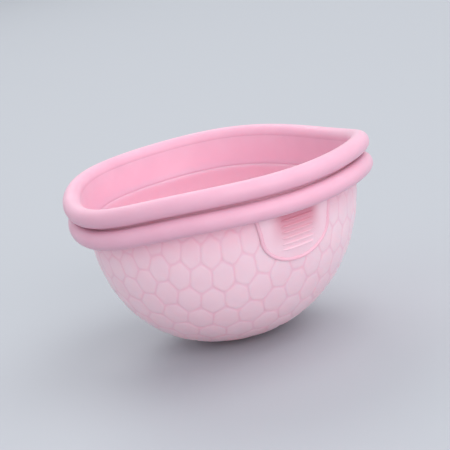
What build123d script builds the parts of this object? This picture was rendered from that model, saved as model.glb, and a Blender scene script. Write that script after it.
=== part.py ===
from build123d import *
import math
import os

# A small oval silicone cup: a double-beaded rim, a thin bowl and a finger grip on its front.
# Millimetres. +Z is the cup's axis, the grip faces -Y, and the bowl's flat underside is at Z = 0.
# The real cup is one moulding, so each node here is one working region of that moulding.

# Rim
rim_length = 72.0  # over the upper bead, along Y
rim_width = 64.6  # over the upper bead, along X
rim_plane = 37.1  # mean height of the upper bead's centreline
rim_corner = 0.26  # how far the oval is pulled in between its four extremes
rim_end_rise = 0.77  # centreline above its mean at the front and the back
rim_side_drop = 1.6  # centreline below its mean at the two sides
upper_bead_radius = 1.95
lower_bead_radius = 2.0
bead_spacing = 4.54
lower_bead_inset = 0.16

# Bowl
neck_length = 63.4  # over the bowl's outside at the lower bead, along Y
neck_width = 56.2
neck_plane = rim_plane - bead_spacing
bowl_fullness = 2.18  # exponent of the bowl's superellipse: 2 is an ellipse
bowl_back_shift = 4.85  # how far the bowl's lowest point lies behind the rim's centre
bowl_wall = 1.0
rest_flat = 0.25  # height taken off the bowl's bottom, which leaves the flat it rests on
fold_top = 19.0  # the side wall ends here and the fold begins
fold_base = 7.0  # the fold ends here and the base dome begins

# Thick inner band, drawn from the centreline of the upper bead
band_edge = 28.3  # height of the band's lower edge, where the thin wall begins
band_thickness = 2.0
band_lip = 0.6  # width and height of the bevel on its lower edge
band_waist = 2.7  # the inner face passes this far inside the centreline, and as far below it
groove_depth = 1.0  # bottom of the groove between the beads
band_start = 0.6  # the band starts this far below the centreline, inside the upper bead
band_inside = 1.7  # and its inner face starts this far inside the centreline

# Finger grip
grip_width = 16.0
grip_arc = 70  # degrees of the bowl, about its front, that the grip is worked out on
grip_top = 31.8
grip_bottom = 20.6
grip_roundness = 0.8  # height of the grip's rounded end, as a share of its half width
grip_bead_width = 0.9
grip_bead_height = 0.7
pad_height = 0.3
ridge_count = 6
ridge_pitch = 1.2
ridge_length = 7.6
ridge_width = 0.55
ridge_height = 0.75
ridge_top = 29.6  # middle of the highest ridge

os.makedirs("parts", exist_ok=True)


def rim_radius(angle):
    """Distance of the rim's centreline from the axis. Angle 0 is the front, turning towards +X."""
    half_length = rim_length / 2 - upper_bead_radius
    half_width = rim_width / 2 - upper_bead_radius
    middle = (half_length + half_width) / 2
    swing = (half_length - half_width) / 2
    return middle + swing * math.cos(2 * angle) - rim_corner * (1 - math.cos(4 * angle))


def rim_height(angle):
    """Height of the rim's centreline: raised at its ends and dipped at its sides."""
    wave = (rim_end_rise + rim_side_drop) / 2 * math.cos(2 * angle)
    crimp = (rim_end_rise - rim_side_drop) / 2 * math.cos(4 * angle)
    return rim_plane + wave + crimp


def rim_plane_at(angle):
    """An upright plane across the rim: its x points outwards and its y points up."""
    out = (math.sin(angle), -math.cos(angle), 0)
    along = (-math.cos(angle), -math.sin(angle), 0)
    radius = rim_radius(angle)
    return Plane(
        origin=(radius * out[0], radius * out[1], rim_height(angle)), x_dir=out, z_dir=along
    )


def ring(section, steps=10):
    """A ring round the rim, lofted as two halves. section(angle) gives its flat section."""
    halves = []
    for start in (-math.pi / 2, math.pi / 2):
        angles = [start + math.pi * i / steps for i in range(steps + 1)]
        halves.append(loft([rim_plane_at(angle) * section(angle) for angle in angles]))
    return halves[0] + halves[1]


def bowl_fraction(height):
    """The bowl's size at a height, as a fraction of its size at the neck."""
    depth = (neck_plane - height) / (neck_plane + rest_flat)
    return (1 - depth**bowl_fullness) ** (1 / bowl_fullness)


def bowl_reach(angle, height):
    """Distance from the axis to the bowl's outside, at an angle and a height."""
    scale = bowl_fraction(height)
    half_width = neck_width / 2 * scale
    half_length = neck_length / 2 * scale
    shift = bowl_back_shift * (neck_plane - height) / neck_plane
    across = math.sin(angle) / half_width
    along = math.cos(angle) / half_length
    offset = shift / half_length
    square = across**2 + along**2
    middle = -along * offset
    return (middle + math.sqrt(middle**2 + square * (1 - offset**2))) / square


def outline(*points):
    """A closed flat outline."""
    return make_face(Polyline(*points, close=True))


def on_circle(radius, across):
    """How far a circle's edge lies above or below its centre, at a distance across."""
    return math.sqrt(radius**2 - across**2)


def band_section(angle):
    """The thick inner band, from inside the upper bead down to its lower lip."""
    neck = bowl_reach(angle, neck_plane) - rim_radius(angle)
    edge = bowl_reach(angle, band_edge) - rim_radius(angle)
    drop = band_edge - rim_height(angle)
    return outline(
        (-band_inside, -band_start),
        (-groove_depth, -band_start),
        (-groove_depth, -bead_spacing),
        (neck, -bead_spacing),
        (edge, drop),
        (edge - band_thickness + band_lip, drop),
        (edge - band_thickness, drop + band_lip),
        (-band_waist, -band_waist),
        (-band_inside, -on_circle(upper_bead_radius, band_inside)),
    )


def upper_bead_section(angle):
    """The round upper bead, less the notch that the band's upper edge fills."""
    radius = upper_bead_radius
    inner = (-band_inside, -on_circle(radius, band_inside))
    outer = (-groove_depth, -on_circle(radius, groove_depth))
    notch = Polyline(inner, (-band_inside, -band_start), (-groove_depth, -band_start), outer)
    return make_face([ThreePointArc(outer, (0, radius), inner), notch])


def lower_bead_section(angle):
    """The round lower bead, less the quarter that the band passes through."""
    radius = lower_bead_radius
    centre = -lower_bead_inset
    upper = (-groove_depth, on_circle(radius, groove_depth + centre) - bead_spacing)
    inner = (centre - radius, -bead_spacing)
    outer = (centre + radius, -bead_spacing)
    notch = Polyline(inner, (-groove_depth, -bead_spacing), upper)
    shoulder = radius * math.sqrt(0.5)
    over = ThreePointArc(upper, (centre + shoulder, shoulder - bead_spacing), outer)
    under = ThreePointArc(outer, (centre, -radius - bead_spacing), inner)
    return make_face([notch, over, under])


def bowl_profile(inset):
    """Half of the bowl's upright section, closed along its axis, before it is made oval."""
    radius = (neck_length + neck_width) / 4 - inset
    depth = neck_plane + rest_flat - inset
    power = 2 / bowl_fullness
    steps = 8
    curve = []
    for i in range(steps):
        turn = math.pi / 2 * i / steps
        out = radius * math.cos(turn) ** power
        curve.append((out, neck_plane - depth * math.sin(turn) ** power))
    curve.append((0, neck_plane - depth))
    wall = Spline(curve, tangents=[(0, -1), (-1, 0)])
    axis = Line(curve[-1], (0, neck_plane))
    top = Line((0, neck_plane), curve[0])
    return make_face([wall, axis, top])


def bowl_skin(outer, inner, low, high, arc=360):
    """The part of the bowl between two insets and two heights: turned, made oval and leant back.

    A negative inset lies outside the bowl. A smaller arc leaves only a stretch about the front.
    """
    layer = bowl_profile(outer) - bowl_profile(inner)
    heights = Pos(rim_length / 2, (low + high) / 2) * Rectangle(rim_length, high - low)
    turned = Rot(0, 0, -90 - arc / 2) * revolve(Plane.XZ * (layer & heights), Axis.Z, arc)
    mean = (neck_length + neck_width) / 2
    lean = -bowl_back_shift / neck_plane
    oval = Matrix(
        [
            [neck_width / mean, 0, 0, 0],
            [0, neck_length / mean, lean, bowl_back_shift],
            [0, 0, 1, 0],
        ]
    )
    return turned.transform_geometry(oval)


def below_rest():
    """Everything under the surface that the cup stands on."""
    return Pos(0, 0, -bowl_wall) * Box(rim_length, rim_length, 2 * bowl_wall)


def front_prism(sketch):
    """A shape drawn on the XZ plane and pushed through the front of the bowl only."""
    return extrude(Plane.XZ * sketch, amount=rim_length)


def tongue(inset):
    """The grip's outline: straight sides and a rounded lower end."""
    half = grip_width / 2 - inset
    bottom = grip_bottom + inset
    shoulder = bottom + half * grip_roundness
    sides = Polyline((-half, shoulder), (-half, grip_top), (half, grip_top), (half, shoulder))
    end = EllipticalCenterArc((0, shoulder), half, shoulder - bottom, start_angle=180, arc_size=180)
    return make_face([sides, end])


def ridge(index):
    """One of the grip's level ridges, as a flat outline."""
    return Pos(0, ridge_top - index * ridge_pitch) * SlotOverall(ridge_length, ridge_width)


def save(shape, node):
    """Write one node, and say what is in it."""
    print(node, shape.is_valid, len(shape.solids()), round(shape.volume, 1))
    export_step(shape, f"parts/{node}.step")


save(ring(upper_bead_section), "upper_rim")
save(ring(lower_bead_section), "lower_rim")
save(ring(band_section), "rim_band")

save(bowl_skin(0, bowl_wall, fold_top, band_edge), "side_wall")
save(bowl_skin(0, bowl_wall, fold_base, fold_top), "flex_wall")
save(bowl_skin(0, bowl_wall, -bowl_wall, fold_base) - below_rest(), "base_dome")

pad_skin = bowl_skin(-pad_height, 0, grip_bottom, grip_top, grip_arc)
frame_skin = bowl_skin(-grip_bead_height, 0, grip_bottom, grip_top, grip_arc)
ridge_skin = bowl_skin(-ridge_height, -pad_height, grip_bottom, grip_top, grip_arc)
frame_shape = tongue(0) - tongue(grip_bead_width)
save(pad_skin & front_prism(tongue(grip_bead_width)), "grip_pad")
save(frame_skin & front_prism(frame_shape), "grip_frame")
ridges = [ridge_skin & front_prism(ridge(index)) for index in range(ridge_count)]
save(Compound(children=[solid for shape in ridges for solid in shape.solids()]), "grip_ridges")
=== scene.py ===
import math

import bpy
import numpy as np
from mathutils import Matrix, Vector


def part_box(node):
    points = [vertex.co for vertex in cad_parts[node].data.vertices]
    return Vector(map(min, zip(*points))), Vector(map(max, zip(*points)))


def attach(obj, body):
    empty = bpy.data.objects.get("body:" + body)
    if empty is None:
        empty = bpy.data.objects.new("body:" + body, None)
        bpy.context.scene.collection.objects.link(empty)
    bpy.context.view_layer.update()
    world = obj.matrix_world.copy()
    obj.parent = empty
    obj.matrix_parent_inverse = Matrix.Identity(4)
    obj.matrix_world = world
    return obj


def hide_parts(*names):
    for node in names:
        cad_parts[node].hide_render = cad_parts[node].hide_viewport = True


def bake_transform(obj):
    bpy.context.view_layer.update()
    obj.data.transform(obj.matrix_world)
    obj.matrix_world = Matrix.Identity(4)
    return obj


# A soft pink silicone cup: a double rim, a honeycombed bowl and a ridged finger grip at the front.
# The front faces -Y and the mouth faces +Z.
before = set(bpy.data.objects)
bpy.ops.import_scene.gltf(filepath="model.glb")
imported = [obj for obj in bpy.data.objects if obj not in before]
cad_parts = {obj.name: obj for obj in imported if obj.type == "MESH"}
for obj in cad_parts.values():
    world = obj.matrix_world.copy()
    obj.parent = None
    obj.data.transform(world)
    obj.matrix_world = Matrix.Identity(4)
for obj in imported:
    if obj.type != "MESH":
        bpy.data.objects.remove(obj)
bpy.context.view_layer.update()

# ---------------------------------------------------------------------------
# Sizes, in metres. What the frame can tell is read from it.
# ---------------------------------------------------------------------------
MM = 0.001

# Rim: two beads carried round the same oval, which rises and falls
RIM_LOW, RIM_HIGH = (Vector(corner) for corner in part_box("upper_rim"))
UPPER_BEAD = 1.95 * MM  # radius
LOWER_BEAD = 2.0 * MM
BEAD_SPACING = 4.54 * MM
LOWER_INSET = 0.16 * MM
RIM_HALF_LENGTH = (RIM_HIGH.y - RIM_LOW.y) / 2 - UPPER_BEAD
RIM_HALF_WIDTH = (RIM_HIGH.x - RIM_LOW.x) / 2 - UPPER_BEAD
RIM_CORNER = 0.26 * MM  # how far the oval is pulled in between its four extremes
END_RISE = 0.77 * MM  # centreline above its mean at the front and the back
SIDE_DROP = 1.6 * MM  # centreline below its mean at the two sides
RIM_CREST = 0.84 * MM  # the centreline's highest point above its mean
RIM_PLANE = RIM_HIGH.z - UPPER_BEAD - RIM_CREST
RIM_COLUMNS = 480
BEAD_ROWS = 40

# Bowl: a superellipse whose lowest point lies behind the rim's centre
NECK_PLANE = RIM_PLANE - BEAD_SPACING
NECK_HALF_WIDTH = 28.1 * MM
NECK_HALF_LENGTH = 31.7 * MM
FULLNESS = 2.18  # exponent of the superellipse: 2 is an ellipse
BACK_SHIFT = 4.85 * MM
REST_FLAT = 0.25 * MM
BOWL_DEPTH = NECK_PLANE + REST_FLAT
WALL = 1.15 * MM
WALL_TOP = 5.2 * MM  # the bowl's outer skin starts this far below the rim's centreline
BOWL_COLUMNS = 800
OUTER_ROWS = 230
INNER_ROWS = 64
LAST_TURN = 0.9985  # the rows stop just short of the lowest point and a small cap closes them
INNER_CROWDING = 1.3  # above 1, the inside's rows crowd towards the crease

# Inner band, whose places are (out, up) from the rim's centreline
CREASE_DROP = 6.4 * MM  # the crease inside the cup, below the rim's centreline
SHOULDER_FALL = 1.3 * MM  # the bowl's rounded inner shoulder, below the crease
SHOULDER_START = 0.6  # share of the wall's thickness at the crease
BAND_ROOT = ((-1.72, 0.5), (-1.86, 0.2), (-1.93, -0.15))  # mm, inside the upper bead
BAND_START = (-1.955 * MM, -0.5 * MM)  # where the inner band leaves the upper bead
BAND_CURVE = 2.4  # how late the band draws in towards the crease
BAND_STEPS = 13
BAND_BACK = ((-1.0, -4.6), (-1.0, -3.2), (-1.05, -2.3), (-1.0, -1.4), (-1.0, 0.4))  # mm
MEET_FALL, MEET_INSET = 0.1 * MM, 0.75 * WALL  # the band's lower edge, just inside the wall
FOOT_FALL, FOOT_INSET = 0.8 * MM, 0.4 * WALL  # its foot, in the middle of the wall
HEEL_RISE = 0.5 * MM  # the foot goes up to this far above the crease
FILLET_FALL, FILLET_PROUD = 0.15 * MM, 0.15 * MM  # where the band rounds the bowl's top edge

# Honeycomb, measured along the bowl from its lowest point
CELL_COLUMN = 5.06 * MM
CELL_ROW = 7.55 * MM
CELL_START = 3.0 * MM
CELL_PITCH = CELL_COLUMN * 2 / math.sqrt(3)  # the pitch of regular cells of that column width
CELL_ROUNDING = 10  # high for sharp corners, 2 for round cells
LINE_WIDTH = 0.95 * MM
LINE_DEPTH = 0.06 * MM
CELL_CROWN = 0.06 * MM

# Finger grip, whose outline is a tongue hanging from the rim
GRIP_HALF_WIDTH = 7.6 * MM
GRIP_FLARE = 0.9 * MM  # the half width gained towards the rim
FLARE_LOW, FLARE_HIGH = 26 * MM, 33 * MM
GRIP_TOP = 31.6 * MM
FRAME_HALF_WIDTH = 0.42 * MM
FRAME_HEIGHT = 0.45 * MM
GRIP_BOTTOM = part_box("grip_frame")[0][2] + 0.4 * MM
GRIP_SHOULDER = GRIP_BOTTOM + GRIP_HALF_WIDTH * 0.8  # where its rounded end begins
MASK_EDGE = 0.15 * MM
PAD_LIFT = 0.12 * MM
PAD_DEPTH = 0.3 * MM
PAD_END = 0.3 * MM  # the pad stops this far above the grip's lowest point
RIDGE_COUNT = 6
RIDGE_TOP = 29.6 * MM
RIDGE_PITCH = 1.2 * MM
RIDGE_HALF_LENGTH = 3.8 * MM
RIDGE_HALF_WIDTH = 0.3 * MM
RIDGE_HEIGHT = 0.5 * MM
RIDGE_TAPER = 0.25  # share of the ridge's length over which each end runs out
THINNEST = 0.03  # share of its size that a ridge keeps at its tips


# ---------------------------------------------------------------------------
# The cup's shape
# ---------------------------------------------------------------------------
def rim_radius(angle):
    """Distance of the rim's centreline from the axis. Angle 0 is the front, turning towards +X."""
    middle = (RIM_HALF_LENGTH + RIM_HALF_WIDTH) / 2
    swing = (RIM_HALF_LENGTH - RIM_HALF_WIDTH) / 2
    return middle + swing * np.cos(2 * angle) - RIM_CORNER * (1 - np.cos(4 * angle))


def rim_rise(angle):
    """Height of the rim's centreline above its mean plane."""
    wave = (END_RISE + SIDE_DROP) / 2 * np.cos(2 * angle)
    crimp = (END_RISE - SIDE_DROP) / 2 * np.cos(4 * angle)
    return wave + crimp


def bowl_surface(angle, drop, inset=0.0):
    """Points of the bowl. drop is 0 at the neck and 1 at the bottom; inset moves inwards."""
    spread = np.power(np.clip(1 - np.power(drop, FULLNESS), 0, 1), 1 / FULLNESS)
    x = (NECK_HALF_WIDTH - inset) * spread * np.sin(angle)
    y = BACK_SHIFT * drop - (NECK_HALF_LENGTH - inset) * spread * np.cos(angle)
    z = NECK_PLANE + rim_rise(angle) * (1 - drop) - (BOWL_DEPTH - inset) * drop
    return np.stack([x, y, z], axis=-1)


def bowl_crossing(angles, below, inset):
    """Where the bowl crosses the rim's own sections, as (out, up) from the rim's centreline."""
    drop = (below - BEAD_SPACING) / BOWL_DEPTH
    spread = (1 - drop**FULLNESS) ** (1 / FULLNESS)
    half_width = (NECK_HALF_WIDTH - inset) * spread
    half_length = (NECK_HALF_LENGTH - inset) * spread
    shift = BACK_SHIFT * drop
    square = (np.sin(angles) / half_width) ** 2 + (np.cos(angles) / half_length) ** 2
    linear = shift * np.cos(angles) / half_length**2
    constant = (shift / half_length) ** 2 - 1
    reach = (np.sqrt(linear**2 - square * constant) - linear) / square
    turn = np.arctan2(
        reach * np.sin(angles) / half_width, (reach * np.cos(angles) + shift) / half_length
    )
    height = NECK_PLANE + rim_rise(turn) * (1 - drop) - (BOWL_DEPTH - inset) * drop
    return reach - rim_radius(angles), height - RIM_PLANE - rim_rise(angles)


def surface_normals(points):
    """Outward unit normals of a closed grid of points, rows running down and columns round."""
    down = np.gradient(points, axis=0)
    across = (np.roll(points, -1, axis=1) - np.roll(points, 1, axis=1)) / 2
    normal = np.cross(down, across)
    length = np.linalg.norm(normal, axis=-1, keepdims=True)
    return normal / np.maximum(length, 1e-12)


def smooth(low, high, value):
    """0 below low, 1 above high, and an S between them."""
    t = np.clip((value - low) / (high - low), 0, 1)
    return t * t * (3 - 2 * t)


# ---------------------------------------------------------------------------
# Mesh helpers
# ---------------------------------------------------------------------------
def new_object(name, vertices, faces, material, smooth_shading=True):
    mesh = bpy.data.meshes.new(name)
    mesh.from_pydata([tuple(v) for v in vertices], [], faces)
    mesh.validate()
    mesh.update()
    if smooth_shading:
        mesh.polygons.foreach_set("use_smooth", [True] * len(mesh.polygons))
    mesh.materials.append(material)
    made = bpy.data.objects.new(name, mesh)
    bpy.context.scene.collection.objects.link(made)
    return made


def float_attribute(obj, name, values):
    attribute = obj.data.attributes.new(name, "FLOAT", "POINT")
    attribute.data.foreach_set("value", np.asarray(values, dtype=np.float32).ravel())


def grid_faces(rows, columns, close_rows=False, close_columns=True, first=0):
    """Quads of a grid of points numbered row by row."""
    faces = []
    row_count = rows if close_rows else rows - 1
    column_count = columns if close_columns else columns - 1
    for i in range(row_count):
        row = first + i * columns
        next_row = first + (i + 1) % rows * columns
        for j in range(column_count):
            beside = (j + 1) % columns
            faces.append((row + j, next_row + j, next_row + beside, row + beside))
    return faces


# ---------------------------------------------------------------------------
# Rim and inner band
# ---------------------------------------------------------------------------
def ring_object(name, section, material):
    """A closed section carried round the rim. section(angles) gives rows of (out, up) arrays."""
    angles = np.linspace(0, 2 * np.pi, RIM_COLUMNS, endpoint=False)
    rows = section(angles)
    radius = rim_radius(angles)
    height = RIM_PLANE + rim_rise(angles)
    points = []
    for out, up in rows:
        reach = radius + out
        points.append(
            np.stack([reach * np.sin(angles), -reach * np.cos(angles), height + up], axis=-1)
        )
    faces = grid_faces(len(rows), RIM_COLUMNS, close_rows=True)
    made = new_object(name, np.concatenate(points), faces, material)
    float_attribute(made, "below_rim", np.concatenate([-up for out, up in rows]))
    return made


def level(angles, places):
    """Rows that keep the same (out, up) all the way round."""
    return [(np.full_like(angles, out), np.full_like(angles, up)) for out, up in places]


def bead_rows(radius, centre):
    """A round section."""

    def section(angles):
        places = []
        for k in range(BEAD_ROWS):
            turn = 2 * math.pi * k / BEAD_ROWS
            places.append(
                (centre[0] + radius * math.cos(turn), centre[1] + radius * math.sin(turn))
            )
        return level(angles, places)

    return section


def band_rows(angles):
    """The inner band's section: out of the upper bead, drawn in to the crease, and back outside.

    Its foot is sunk in the bowl's wall, and its back closes the groove between the two beads.
    """
    rows = level(angles, [(out * MM, up * MM) for out, up in BAND_ROOT])
    meet_out, meet_up = bowl_crossing(angles, CREASE_DROP + MEET_FALL, MEET_INSET)
    start_out, start_up = BAND_START
    for i in range(BAND_STEPS + 1):
        share = i / BAND_STEPS
        out = start_out + (meet_out - start_out) * share**BAND_CURVE
        rows.append((out, start_up + (meet_up - start_up) * share))
    rows.append(bowl_crossing(angles, CREASE_DROP + FOOT_FALL, FOOT_INSET))
    rows.append(bowl_crossing(angles, CREASE_DROP - HEEL_RISE, FOOT_INSET))
    rows.append(bowl_crossing(angles, WALL_TOP + FILLET_FALL, -FILLET_PROUD))
    return rows + level(angles, [(out * MM, up * MM) for out, up in BAND_BACK])


# ---------------------------------------------------------------------------
# Bowl
# ---------------------------------------------------------------------------
def honeycomb(flat):
    """For each flat point: how near it is to a cell wall, and its cell's fullness from 0 to 1.

    The cells are regular hexagons on a grid that is then stretched front to back.
    """
    across = flat[..., 0]
    along = (flat[..., 1] - CELL_START) * CELL_PITCH / CELL_ROW
    best = None
    for offset_x, offset_y in ((0.0, 0.0), (CELL_COLUMN, CELL_PITCH / 2)):
        dx = across - offset_x
        dy = along - offset_y
        dx = dx - 2 * CELL_COLUMN * np.round(dx / (2 * CELL_COLUMN))
        dy = dy - CELL_PITCH * np.round(dy / CELL_PITCH)
        reach = 0.0
        for turn in (90, 30, 150):
            direction = math.radians(turn)
            side = np.abs(dx * math.cos(direction) + dy * math.sin(direction))
            reach = reach + side**CELL_ROUNDING
        reach = reach ** (1 / CELL_ROUNDING)
        best = reach if best is None else np.minimum(best, reach)
    wall = CELL_PITCH / 2 - best
    return wall, np.clip(1 - (best / (CELL_PITCH / 2)) ** 2, 0, 1)


def grip_half_width(z):
    """The grip's half width at a height: it flares a little towards the rim."""
    return GRIP_HALF_WIDTH + GRIP_FLARE * smooth(FLARE_LOW, FLARE_HIGH, z)


def grip_mask(x, z):
    """1 inside the grip's tongue outline and 0 outside it, with a soft edge."""
    below = np.clip((GRIP_SHOULDER - z) / (GRIP_SHOULDER - GRIP_BOTTOM), 0, 1.2)
    edge = grip_half_width(z) * np.sqrt(np.clip(1 - below**2, 0, 1))
    return smooth(-MASK_EDGE, MASK_EDGE, edge - np.abs(x)) * (z > GRIP_BOTTOM)


def fraction_at(below):
    """How far down the bowl, from 0 at the neck to 1, a depth below the rim's centreline is."""
    return (below - BEAD_SPACING) / BOWL_DEPTH


def outer_skin(angles):
    """The bowl's outside with its honeycomb pressed in, and how strongly each point is a line."""
    start = np.arcsin(fraction_at(WALL_TOP) ** (FULLNESS / 2))
    turn = np.linspace(start, np.pi / 2 * LAST_TURN, OUTER_ROWS)
    drop = np.power(np.sin(turn), 2 / FULLNESS)
    points = bowl_surface(angles[None, :], drop[:, None])

    steps = np.linalg.norm(np.diff(points[::-1], axis=0), axis=-1)
    length = np.concatenate([np.zeros((1, BOWL_COLUMNS)), np.cumsum(steps, axis=0)])[::-1]
    direction = np.stack(
        [NECK_HALF_WIDTH * np.sin(angles), -NECK_HALF_LENGTH * np.cos(angles)], axis=-1
    )
    direction /= np.linalg.norm(direction, axis=-1, keepdims=True)
    wall, crown = honeycomb(length[..., None] * direction[None, :, :])

    front = points[..., 1] < 0
    plain = grip_mask(points[..., 0], points[..., 2]) * front
    line = (1 - smooth(0.0, LINE_WIDTH / 2, wall)) * (1 - plain)
    crown = crown * (1 - plain)
    relief = CELL_CROWN * (crown - 1) - LINE_DEPTH * line
    points = points + surface_normals(points) * relief[..., None]
    points[..., 2] = np.maximum(points[..., 2], 0.0)
    return points, line


def inner_skin(angles):
    """The bowl's plain inside, from the bottom up to its rounded shoulder at the crease."""
    crease = fraction_at(CREASE_DROP)
    start = np.arcsin(crease ** (FULLNESS / 2))
    share = np.linspace(0, 1, INNER_ROWS) ** INNER_CROWDING * LAST_TURN
    drop = np.power(np.sin(start + share * (np.pi / 2 - start)), 2 / FULLNESS)
    fall = (drop - crease) * BOWL_DEPTH / SHOULDER_FALL
    shoulder = np.sqrt(np.clip(1 - np.clip(1 - fall, 0, 1) ** 2, 0, 1))
    inset = WALL * (SHOULDER_START + (1 - SHOULDER_START) * shoulder)
    return bowl_surface(angles[None, :], drop[:, None], inset[:, None])[::-1]


def bowl_object(material):
    """The thin bowl: honeycombed outside, plain inside, one closed skin."""
    angles = np.linspace(0, 2 * np.pi, BOWL_COLUMNS, endpoint=False)
    outside, line = outer_skin(angles)
    inside = inner_skin(angles)
    points = np.concatenate([outside.reshape(-1, 3), inside.reshape(-1, 3)])

    inside_first = OUTER_ROWS * BOWL_COLUMNS
    outside_bottom = inside_first - BOWL_COLUMNS
    inside_top = inside_first + (INNER_ROWS - 1) * BOWL_COLUMNS
    faces = grid_faces(OUTER_ROWS, BOWL_COLUMNS)
    faces += grid_faces(INNER_ROWS, BOWL_COLUMNS, first=inside_first)
    faces.append(tuple(reversed([outside_bottom + j for j in range(BOWL_COLUMNS)])))
    faces.append(tuple(inside_first + j for j in range(BOWL_COLUMNS)))
    for j in range(BOWL_COLUMNS):
        beside = (j + 1) % BOWL_COLUMNS
        faces.append((inside_top + j, j, beside, inside_top + beside))

    made = new_object("bowl", points, faces, material)
    within = np.ones(INNER_ROWS * BOWL_COLUMNS)
    float_attribute(made, "honeycomb_line", np.concatenate([line.ravel(), within * 0]))
    float_attribute(made, "within", np.concatenate([line.ravel() * 0, within]))
    return made


# ---------------------------------------------------------------------------
# Finger grip
# ---------------------------------------------------------------------------
def on_bowl(x, z):
    """The point of the bowl's outside at the front, at a sideways place and a height."""
    rise = rim_rise(math.asin(max(-1.0, min(1.0, x / RIM_HALF_LENGTH))))
    drop = (NECK_PLANE + rise - z) / (BOWL_DEPTH + rise)
    drop = max(drop, 0.0)
    spread = (1 - drop**FULLNESS) ** (1 / FULLNESS)
    sine = x / (NECK_HALF_WIDTH * spread)
    y = BACK_SHIFT * drop - NECK_HALF_LENGTH * spread * math.sqrt(1 - sine * sine)
    return Vector((x, y, z))


def front_point(x, z, lift=0.0):
    """A point lifted off the bowl's front, and the surface's outward normal there."""
    step = 0.05 * MM
    across = on_bowl(x + step, z) - on_bowl(x - step, z)
    up = on_bowl(x, z + step) - on_bowl(x, z - step)
    normal = across.cross(up).normalized()
    return on_bowl(x, z) + normal * lift, normal


def bead_along(name, path, half_width, height, material, sides=12, taper=0.0):
    """A raised half-round bead on the bowl's front, along a list of (x, z) places."""
    count = len(path)
    vertices = []
    for i, (x, z) in enumerate(path):
        before = path[max(i - 1, 0)]
        after = path[min(i + 1, count - 1)]
        centre, normal = front_point(x, z)
        ahead = front_point(*after)[0] - front_point(*before)[0]
        side = normal.cross(ahead.normalized()).normalized()
        share = 1.0
        if taper:
            near_end = min(i, count - 1 - i) / (count - 1)
            fullness = math.sqrt(1 - (1 - min(near_end / taper, 1.0)) ** 2)
            share = fullness * (1 - THINNEST) + THINNEST
        for k in range(sides):
            turn = 2 * math.pi * k / sides
            out = side * (half_width * share * math.cos(turn))
            up = normal * (height * share * math.sin(turn))
            vertices.append(centre + out + up)
    faces = grid_faces(count, sides)
    faces.append(tuple(reversed(range(sides))))
    faces.append(tuple((count - 1) * sides + k for k in range(sides)))
    return new_object(name, vertices, faces, material)


def frame_path(arm_steps=24, bend_steps=60):
    """The grip's U, from under the rim at one side round to the other."""
    arm = []
    for i in range(arm_steps):
        z = GRIP_TOP + (GRIP_SHOULDER - GRIP_TOP) * i / arm_steps
        arm.append((-grip_half_width(z), z))
    bend = []
    for i in range(bend_steps + 1):
        turn = math.pi + math.pi * i / bend_steps
        x = GRIP_HALF_WIDTH * math.cos(turn)
        z = GRIP_SHOULDER + (GRIP_SHOULDER - GRIP_BOTTOM) * math.sin(turn)
        bend.append((x, z))
    return arm + bend + [(-x, z) for x, z in reversed(arm)]


def ridge_path(z, steps=30):
    """A straight line across the pad."""
    return [(RIDGE_HALF_LENGTH * (2 * i / steps - 1), z) for i in range(steps + 1)]


def pad_object(material, across=60, down=60):
    """The grip's pad: a thin tongue of the same outline as the frame."""
    vertices = []
    for i in range(down):
        z = GRIP_TOP + (GRIP_BOTTOM + PAD_END - GRIP_TOP) * (i / (down - 1))
        below = min(max((GRIP_SHOULDER - z) / (GRIP_SHOULDER - GRIP_BOTTOM), 0.0), 1.0)
        half = grip_half_width(z) * math.sqrt(max(1 - below**2, 0.0))
        for j in range(across):
            x = half * (2 * j / (across - 1) - 1)
            vertices.append(front_point(x, z, PAD_LIFT)[0])
    back = [vertex + Vector((0, PAD_DEPTH, 0)) for vertex in vertices]
    count = len(vertices)
    faces = grid_faces(down, across, close_columns=False)
    faces += [tuple(reversed([index + count for index in face])) for face in faces]
    edge = list(range(across))
    edge += [i * across + across - 1 for i in range(1, down)]
    edge += [(down - 1) * across + j for j in range(across - 2, -1, -1)]
    edge += [i * across for i in range(down - 2, 0, -1)]
    for k, index in enumerate(edge):
        following = edge[(k + 1) % len(edge)]
        faces.append((index, following, following + count, index + count))
    return new_object("grip_pad_skin", vertices + back, faces, material)


# ---------------------------------------------------------------------------
# Materials
# ---------------------------------------------------------------------------
def srgb(red, green, blue):
    """A screen colour, 0 to 255, as the linear colour that shaders take."""

    def linear(value):
        value /= 255
        return value / 12.92 if value <= 0.04045 else ((value + 0.055) / 1.055) ** 2.4

    return (linear(red), linear(green), linear(blue), 1.0)


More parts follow.
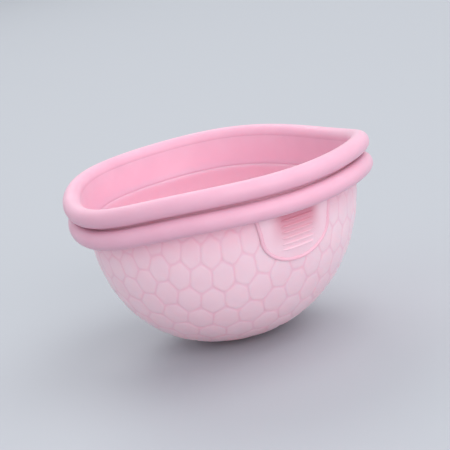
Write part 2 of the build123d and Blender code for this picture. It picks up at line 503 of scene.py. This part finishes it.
def silicone(name, light, dark, roughness, depth, scatter):
    """Soft satin silicone: two close tones mottled together, light scattering inside, fine grain."""
    material = bpy.data.materials.new(name)
    material.use_nodes = True
    nodes = material.node_tree.nodes
    links = material.node_tree.links
    shader = nodes["Principled BSDF"]
    shader.inputs["Roughness"].default_value = roughness
    shader.inputs["IOR"].default_value = 1.41
    shader.inputs["Subsurface Weight"].default_value = scatter
    shader.inputs["Subsurface Radius"].default_value = (1.0, 0.45, 0.5)
    shader.inputs["Subsurface Scale"].default_value = depth
    shader.inputs["Specular IOR Level"].default_value = 0.42
    shader.inputs["Sheen Weight"].default_value = 0.12
    shader.inputs["Sheen Roughness"].default_value = 0.45

    place = nodes.new("ShaderNodeTexCoord")
    mottle = nodes.new("ShaderNodeTexNoise")
    mottle.inputs["Scale"].default_value = 160.0
    mottle.inputs["Detail"].default_value = 3.0
    links.new(place.outputs["Object"], mottle.inputs["Vector"])
    tones = nodes.new("ShaderNodeValToRGB")
    tones.color_ramp.elements[0].position = 0.3
    tones.color_ramp.elements[0].color = dark
    tones.color_ramp.elements[1].position = 0.7
    tones.color_ramp.elements[1].color = light
    links.new(mottle.outputs["Fac"], tones.inputs["Fac"])
    links.new(tones.outputs["Color"], shader.inputs["Base Color"])

    grain = nodes.new("ShaderNodeTexNoise")
    grain.inputs["Scale"].default_value = 5200.0
    grain.inputs["Detail"].default_value = 2.0
    links.new(place.outputs["Object"], grain.inputs["Vector"])
    bump = nodes.new("ShaderNodeBump")
    bump.inputs["Strength"].default_value = 0.06
    bump.inputs["Distance"].default_value = 0.00004
    links.new(grain.outputs["Fac"], bump.inputs["Height"])
    links.new(bump.outputs["Normal"], shader.inputs["Normal"])
    return material


def mix_towards(material, factor, colour):
    """Put a colour over a material's own tones where factor says."""
    nodes = material.node_tree.nodes
    links = material.node_tree.links
    shader = nodes["Principled BSDF"]
    own = shader.inputs["Base Color"].links[0].from_socket
    mix = nodes.new("ShaderNodeMix")
    mix.data_type = "RGBA"
    mix.inputs[7].default_value = colour
    links.new(factor, mix.inputs[0])
    links.new(own, mix.inputs[6])
    links.new(mix.outputs[2], shader.inputs["Base Color"])


def ramp(material, source, low, high, peak=1.0):
    """A factor that rises from 0 to peak as source goes from low to high."""
    node = material.node_tree.nodes.new("ShaderNodeMapRange")
    node.interpolation_type = "SMOOTHSTEP"
    node.inputs["From Min"].default_value = low
    node.inputs["From Max"].default_value = high
    node.inputs["To Max"].default_value = peak
    material.node_tree.links.new(source, node.inputs["Value"])
    return node.outputs["Result"]


def attribute_of(material, name):
    """A piece's own float attribute."""
    node = material.node_tree.nodes.new("ShaderNodeAttribute")
    node.attribute_name = name
    return node.outputs["Fac"]


def place_of(material, axis):
    """The object-space place along one axis."""
    nodes = material.node_tree.nodes
    place = nodes.new("ShaderNodeTexCoord")
    split = nodes.new("ShaderNodeSeparateXYZ")
    material.node_tree.links.new(place.outputs["Object"], split.inputs["Vector"])
    return split.outputs[axis]


def sideways_of(material):
    """The object-space distance from the cup's middle plane."""
    size = material.node_tree.nodes.new("ShaderNodeMath")
    size.operation = "ABSOLUTE"
    material.node_tree.links.new(place_of(material, "X"), size.inputs[0])
    return size.outputs[0]


def rim_material():
    return silicone("rim_silicone", srgb(231, 178, 198), srgb(227, 172, 193), 0.42, 0.0012, 0.35)


def band_material():
    """Like the rim, with painted shade that deepens the pink towards the crease."""
    made = silicone("band_silicone", srgb(237, 186, 205), srgb(233, 180, 200), 0.42, 0.0012, 0.35)
    # Painted shade: the pink deepens down the band to the crease, where the concave corner lies in
    # shadow.
    crease_shade = ramp(made, attribute_of(made, "below_rim"), 0.5 * MM, CREASE_DROP, 0.8)
    mix_towards(made, crease_shade, srgb(236, 172, 194))
    return made


def bowl_material():
    """Paler than the rim, with pinker honeycomb lines and inside, and painted shade in pink along
    the upper edge under the rim.
    """
    made = silicone("bowl_silicone", srgb(240, 212, 222), srgb(237, 207, 218), 0.40, 0.002, 0.55)
    line = ramp(made, attribute_of(made, "honeycomb_line"), 0.0, 1.0, 0.38)
    mix_towards(made, line, srgb(230, 176, 198))
    # Painted shade: pinker towards the rim, where the bowl lies in shadow under the rim's beads.
    upper = ramp(made, place_of(made, "Z"), 24 * MM, 33 * MM, 0.45)
    mix_towards(made, upper, srgb(230, 160, 184))
    within = ramp(made, attribute_of(made, "within"), 0.0, 1.0, 0.6)
    mix_towards(made, within, srgb(234, 176, 197))
    return made


def grip_material():
    """Pale like the bowl, with painted shade in red in the middle of its upper part, where the pad
    recedes under the rim.
    """
    made = silicone("grip_silicone", srgb(246, 208, 220), srgb(243, 202, 215), 0.42, 0.0005, 0.15)
    # Painted shade: the upper middle of the pad turns red where it lies in shadow under the lower
    # bead.
    upper = ramp(made, place_of(made, "Z"), 23 * MM, 31 * MM, 0.8)
    middle = ramp(made, sideways_of(made), 6.5 * MM, 3.0 * MM, 1.0)
    recess_shade = made.node_tree.nodes.new("ShaderNodeMath")
    recess_shade.operation = "MULTIPLY"
    made.node_tree.links.new(upper, recess_shade.inputs[0])
    made.node_tree.links.new(middle, recess_shade.inputs[1])
    mix_towards(made, recess_shade.outputs[0], srgb(206, 112, 136))
    return made


def frame_material():
    return silicone("frame_silicone", srgb(242, 190, 206), srgb(238, 184, 201), 0.42, 0.0005, 0.15)


def floor_material():
    material = bpy.data.materials.new("floor")
    material.use_nodes = True
    shader = material.node_tree.nodes["Principled BSDF"]
    shader.inputs["Base Color"].default_value = srgb(180, 183, 189)
    shader.inputs["Roughness"].default_value = 0.55
    return material


# ---------------------------------------------------------------------------
# The cup
# ---------------------------------------------------------------------------
rim_skin = rim_material()
band_skin = band_material()
bowl_skin = bowl_material()
grip_skin = grip_material()
frame_skin = frame_material()

upper = ring_object("upper_bead", bead_rows(UPPER_BEAD, (0, 0)), rim_skin)
lower = ring_object("lower_bead", bead_rows(LOWER_BEAD, (-LOWER_INSET, -BEAD_SPACING)), rim_skin)
band = ring_object("inner_band", band_rows, band_skin)
for piece, node, slot in (
    (upper, "upper_rim", "rim_silicone"),
    (lower, "lower_rim", "rim_silicone"),
    (band, "rim_band", "band_silicone"),
):
    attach(piece, "rim")
    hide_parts(node)

bowl = bowl_object(bowl_skin)
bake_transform(bowl)
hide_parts("side_wall", "flex_wall", "base_dome")

pad = pad_object(grip_skin)
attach(pad, "rim")
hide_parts("grip_pad")

u_bead = bead_along("grip_u_bead", frame_path(), FRAME_HALF_WIDTH, FRAME_HEIGHT, frame_skin)
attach(u_bead, "rim")
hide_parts("grip_frame")

for index in range(RIDGE_COUNT):
    path = ridge_path(RIDGE_TOP - index * RIDGE_PITCH)
    name = f"grip_ridge_{index + 1}"
    ridge = bead_along(name, path, RIDGE_HALF_WIDTH, RIDGE_HEIGHT, grip_skin, taper=RIDGE_TAPER)
    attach(ridge, "rim")
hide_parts("grip_ridges")

# ---------------------------------------------------------------------------
# Floor, light and camera
# ---------------------------------------------------------------------------
FLOOR_REACH = 6.0
LIGHT_TARGET = (0, 0, 0.02)

VIEW_AZIMUTH = math.radians(26.0)
VIEW_ELEVATION = math.radians(10.8)
VIEW_ROLL = math.radians(12.9)
VIEW_DISTANCE = 0.3194
AIM_RIGHT = math.radians(0.4225)  # from the rim's centre to the middle of the picture
AIM_DOWN = math.radians(2.1306)
LENS = 121.5
SENSOR = 36.0
NEAREST = 0.01


def lay_floor():
    corners = [(-1, -1), (1, -1), (1, 1), (-1, 1)]
    vertices = [(x * FLOOR_REACH, y * FLOOR_REACH, 0) for x, y in corners]
    return new_object("floor", vertices, [(0, 1, 2, 3)], floor_material(), smooth_shading=False)


def light_world():
    """Even, slightly cool light from all round."""
    world = bpy.data.worlds.new("studio")
    world.use_nodes = True
    background = world.node_tree.nodes["Background"]
    background.inputs["Color"].default_value = (0.93, 0.96, 1.0, 1.0)
    background.inputs["Strength"].default_value = 0.82
    bpy.context.scene.world = world


def area_light(name, place, size, power):
    data = bpy.data.lights.new(name, "AREA")
    data.shape = "DISK"
    data.size = size
    data.energy = power
    made = bpy.data.objects.new(name, data)
    made.location = place
    towards = Vector(LIGHT_TARGET) - Vector(place)
    made.rotation_euler = towards.to_track_quat("-Z", "Y").to_euler()
    bpy.context.scene.collection.objects.link(made)


def place_camera():
    """The camera looks along the photograph's direction, rolled as the cup leans there."""
    to_camera = Vector(
        (
            -math.cos(VIEW_ELEVATION) * math.sin(VIEW_AZIMUTH),
            -math.cos(VIEW_ELEVATION) * math.cos(VIEW_AZIMUTH),
            math.sin(VIEW_ELEVATION),
        )
    )
    rim_centre = Vector((0, 0, RIM_PLANE))
    level_right = Vector((math.cos(VIEW_AZIMUTH), -math.sin(VIEW_AZIMUTH), 0))
    level_up = to_camera.cross(level_right)
    right = level_right * math.cos(VIEW_ROLL) - level_up * math.sin(VIEW_ROLL)
    up = level_up * math.cos(VIEW_ROLL) + level_right * math.sin(VIEW_ROLL)
    ahead = -to_camera + right * math.tan(AIM_RIGHT) - up * math.tan(AIM_DOWN)
    ahead.normalize()
    right = (right - ahead * right.dot(ahead)).normalized()
    up = right.cross(ahead)
    data = bpy.data.cameras.new("camera")
    data.lens = LENS
    data.sensor_width = SENSOR
    data.clip_start = NEAREST
    camera = bpy.data.objects.new("camera", data)
    turn = Matrix((right, up, -ahead)).transposed().to_4x4()
    camera.matrix_world = Matrix.Translation(rim_centre + to_camera * VIEW_DISTANCE) @ turn
    bpy.context.scene.collection.objects.link(camera)
    bpy.context.scene.camera = camera


lay_floor()
light_world()
bpy.context.scene.view_settings.view_transform = "Standard"
area_light("key", (0.55, -0.5, 1.4), 1.3, 8.0)
area_light("back", (0.3, 1.1, 1.2), 1.0, 5.0)
area_light("front", (-0.1, -1.3, 0.45), 1.0, 8.5)
place_camera()
